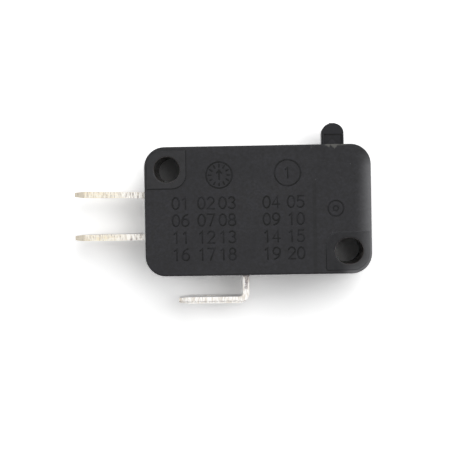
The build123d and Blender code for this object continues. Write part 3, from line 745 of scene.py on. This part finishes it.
def ticked_dial(centre, radius):
    """A plain round dial: a ring, twelve ticks inside it, and a pointer with two barbs."""
    x, y = centre
    tip = (x, y + 0.6 * MM)
    barb_x, barb_y = 0.3 * MM, y + 0.25 * MM
    t = np.arange(12) * np.pi / 6
    ways = np.stack([np.cos(t), np.sin(t)], axis=1)
    ticks = [np.array([centre + way * 1.0 * MM, centre + way * 1.3 * MM]) for way in ways]
    pointer = [line((x, y - 0.5 * MM), tip), line((x - barb_x, barb_y), tip, (x + barb_x, barb_y))]
    return [ring(centre, radius, 49)] + ticks + pointer


def mould_dials():
    """Three plain round marks: a ticked dial, a ring round a numeral, and one ring in another."""
    radius = 1.6 * MM
    numbered = (14.8 * MM, -0.6 * MM)
    x, y = numbered[0] - 0.42 * MM, numbered[1] - 0.65 * MM
    strokes = ticked_dial((6.4 * MM, -0.75 * MM), radius)
    strokes += [ring(numbered, radius, 49)] + numerals("1", x, y, 1.3 * MM, 0)
    return strokes + [ring((20.65 * MM, -5.05 * MM), r, 37) for r in (0.3 * MM, 0.95 * MM)]


# ------------------------------------------------------------------------------------- dressing
finishes = {
    "housing": moulded_housing(),
    "plunger": plunger_plastic(),
    "tab": straight_tab_tin(),
    "contact": silver_rivet(),
    "arm": rolled_strip("copper_strip", rgb(0.80, 0.47, 0.30), rgb(0.66, 0.36, 0.22)),
    "lever": rolled_strip("steel_strip", rgb(0.62, 0.61, 0.59), rgb(0.50, 0.49, 0.48)),
    "spring": rolled_strip("spring_wire", rgb(0.55, 0.55, 0.56), rgb(0.42, 0.42, 0.43)),
}
for subpart in frame["record"]["subparts"]:
    nodes[subpart["node"]].material_slots[0].material = finishes[subpart["material_slot"]]
nodes["common_terminal"].material_slots[0].material = bent_tab_tin()

marks = moulded_marks_painted_shade()
piece_of_beads("number_grid", number_grid(), marks)
piece_of_beads("mould_dials", mould_dials(), marks)


# ----------------------------------------------------------------------- floor, light and camera
def seen_directly(g):
    """1 for what the camera sees, straight or by way of gloss or glass, and 0 for light on the part."""
    rays = g.node("ShaderNodeLightPath").outputs
    return g.larger(g.larger(rays["Is Camera Ray"], rays["Is Glossy Ray"]), rays["Is Transmission Ray"])


def under_the_case(f):
    """1 for the paper under the case, which only the mounting holes show, and 0 all round it."""
    inside = []
    for index, name in enumerate("XY"):
        half = (case_high[index] - case_low[index]) / 2 - 0.5 * MM
        inside.append(f.math("LESS_THAN", f.size(f.minus(f.axis(name), case_middle[index])), half))
    return f.times(*inside)


def white_paper(plain, mirrored, shown):
    """Plain diffuse paper with a plain level for its light on the part, and two higher ones for looks.

    Metal mirrors it at the mirrored level and the camera sees it at the shown one. Under the case it
    keeps its plain level, so the mounting holes stay as dark as they are.
    """
    f = Finish("white_paper")
    straight = f.node("ShaderNodeLightPath").outputs["Is Camera Ray"]
    seen = f.remap(straight, 0.0, 1.0, mirrored, shown)
    around = f.remap(seen_directly(f), 0.0, 1.0, plain, seen)
    level = f.remap(under_the_case(f), 0.0, 1.0, around, plain)
    paper = f.node("ShaderNodeBsdfDiffuse", [("Color", level)])
    f.feed(f.tree.nodes["Material Output"].inputs["Surface"], paper.outputs["BSDF"])
    f.tree.nodes.remove(f.shader)
    return f.material


def paper_floor():
    """A large sheet of white paper under the back face."""
    half = 0.8
    mesh = bpy.data.meshes.new("paper_floor")
    corners = [(-half, -half, 0), (half, -half, 0), (half, half, 0), (-half, half, 0)]
    mesh.from_pydata(corners, [], [(0, 1, 2, 3)])
    mesh.materials.append(white_paper(plain=0.97, mirrored=1.2, shown=1.55))
    floor = bpy.data.objects.new("paper_floor", mesh)
    bpy.context.scene.collection.objects.link(floor)


def white_room(ambient):
    """A plain white surround: it lights at the ambient level and shows as white to camera and gloss."""
    world = bpy.data.worlds.new("white_room")
    bpy.context.scene.world = world
    world.use_nodes = True
    g = Graph(world.node_tree)
    back = g.tree.nodes["Background"]
    g.feed(back.inputs["Color"], grey(1.0))
    g.feed(back.inputs["Strength"], g.remap(seen_directly(g), 0.0, 1.0, ambient, 1.0))


def softbox(name, azimuth, elevation, size, level):
    """A square lamp that faces the part from this direction, in degrees about the X axis.

    level is what it adds to white paper that lies flat: pi^2 distance^2 level / sin(elevation) watts.
    """
    distance = 0.6
    target = Vector((case_middle[0], case_middle[1], 5.0 * MM))
    turn, rise = np.radians(azimuth), np.radians(elevation)
    way = Vector((np.cos(rise) * np.cos(turn), np.cos(rise) * np.sin(turn), np.sin(rise)))
    lamp = bpy.data.lights.new(name, "AREA")
    lamp.shape = "SQUARE"
    lamp.size = size
    lamp.energy = (np.pi * distance) ** 2 * level / np.sin(rise)
    holder = bpy.data.objects.new(name, lamp)
    holder.location = target + way * distance
    holder.rotation_mode = "QUATERNION"
    holder.rotation_quaternion = way.to_track_quat("Z", "Y")
    bpy.context.scene.collection.objects.link(holder)


def overhead_camera(place, aim, roll_degrees, lens):
    """A camera at place that looks at aim, with the top of its picture towards +Y, then rolled."""
    data = bpy.data.cameras.new("overhead_camera")
    data.sensor_width = 36.0
    data.lens = lens
    data.clip_start = 0.01
    data.clip_end = 10.0
    camera = bpy.data.objects.new("overhead_camera", data)
    back = (place - aim).normalized()
    roll = np.radians(roll_degrees)
    right = Vector((0, 1, 0)).cross(back).normalized()
    up = back.cross(right)
    side = right * np.cos(roll) - up * np.sin(roll)
    top = right * np.sin(roll) + up * np.cos(roll)
    turn = Matrix((side, top, back)).transposed()
    camera.matrix_world = Matrix.Translation(place) @ turn.to_4x4()
    bpy.context.scene.collection.objects.link(camera)
    bpy.context.scene.camera = camera


def over_the_cover(aside, along, height):
    """A point at this offset from the middle of the case, this high over the pads of the cover."""
    return Vector((case_middle[0] + aside, case_middle[1] + along, cover_high[2] + height))


paper_floor()
white_room(0.29)
softbox("right_softbox", azimuth=35, elevation=60, size=0.50, level=0.50)
softbox("far_softbox", azimuth=88, elevation=40, size=0.45, level=0.08)
softbox("left_softbox", azimuth=165, elevation=35, size=0.46, level=0.16)
overhead_camera(
    place=over_the_cover(1.14 * MM, 0.71 * MM, 200 * MM),
    aim=over_the_cover(-4.06 * MM, -1.74 * MM, 0.0),
    roll_degrees=0.98,
    lens=130.65,
)

scene = bpy.context.scene
scene.view_settings.view_transform = "Standard"
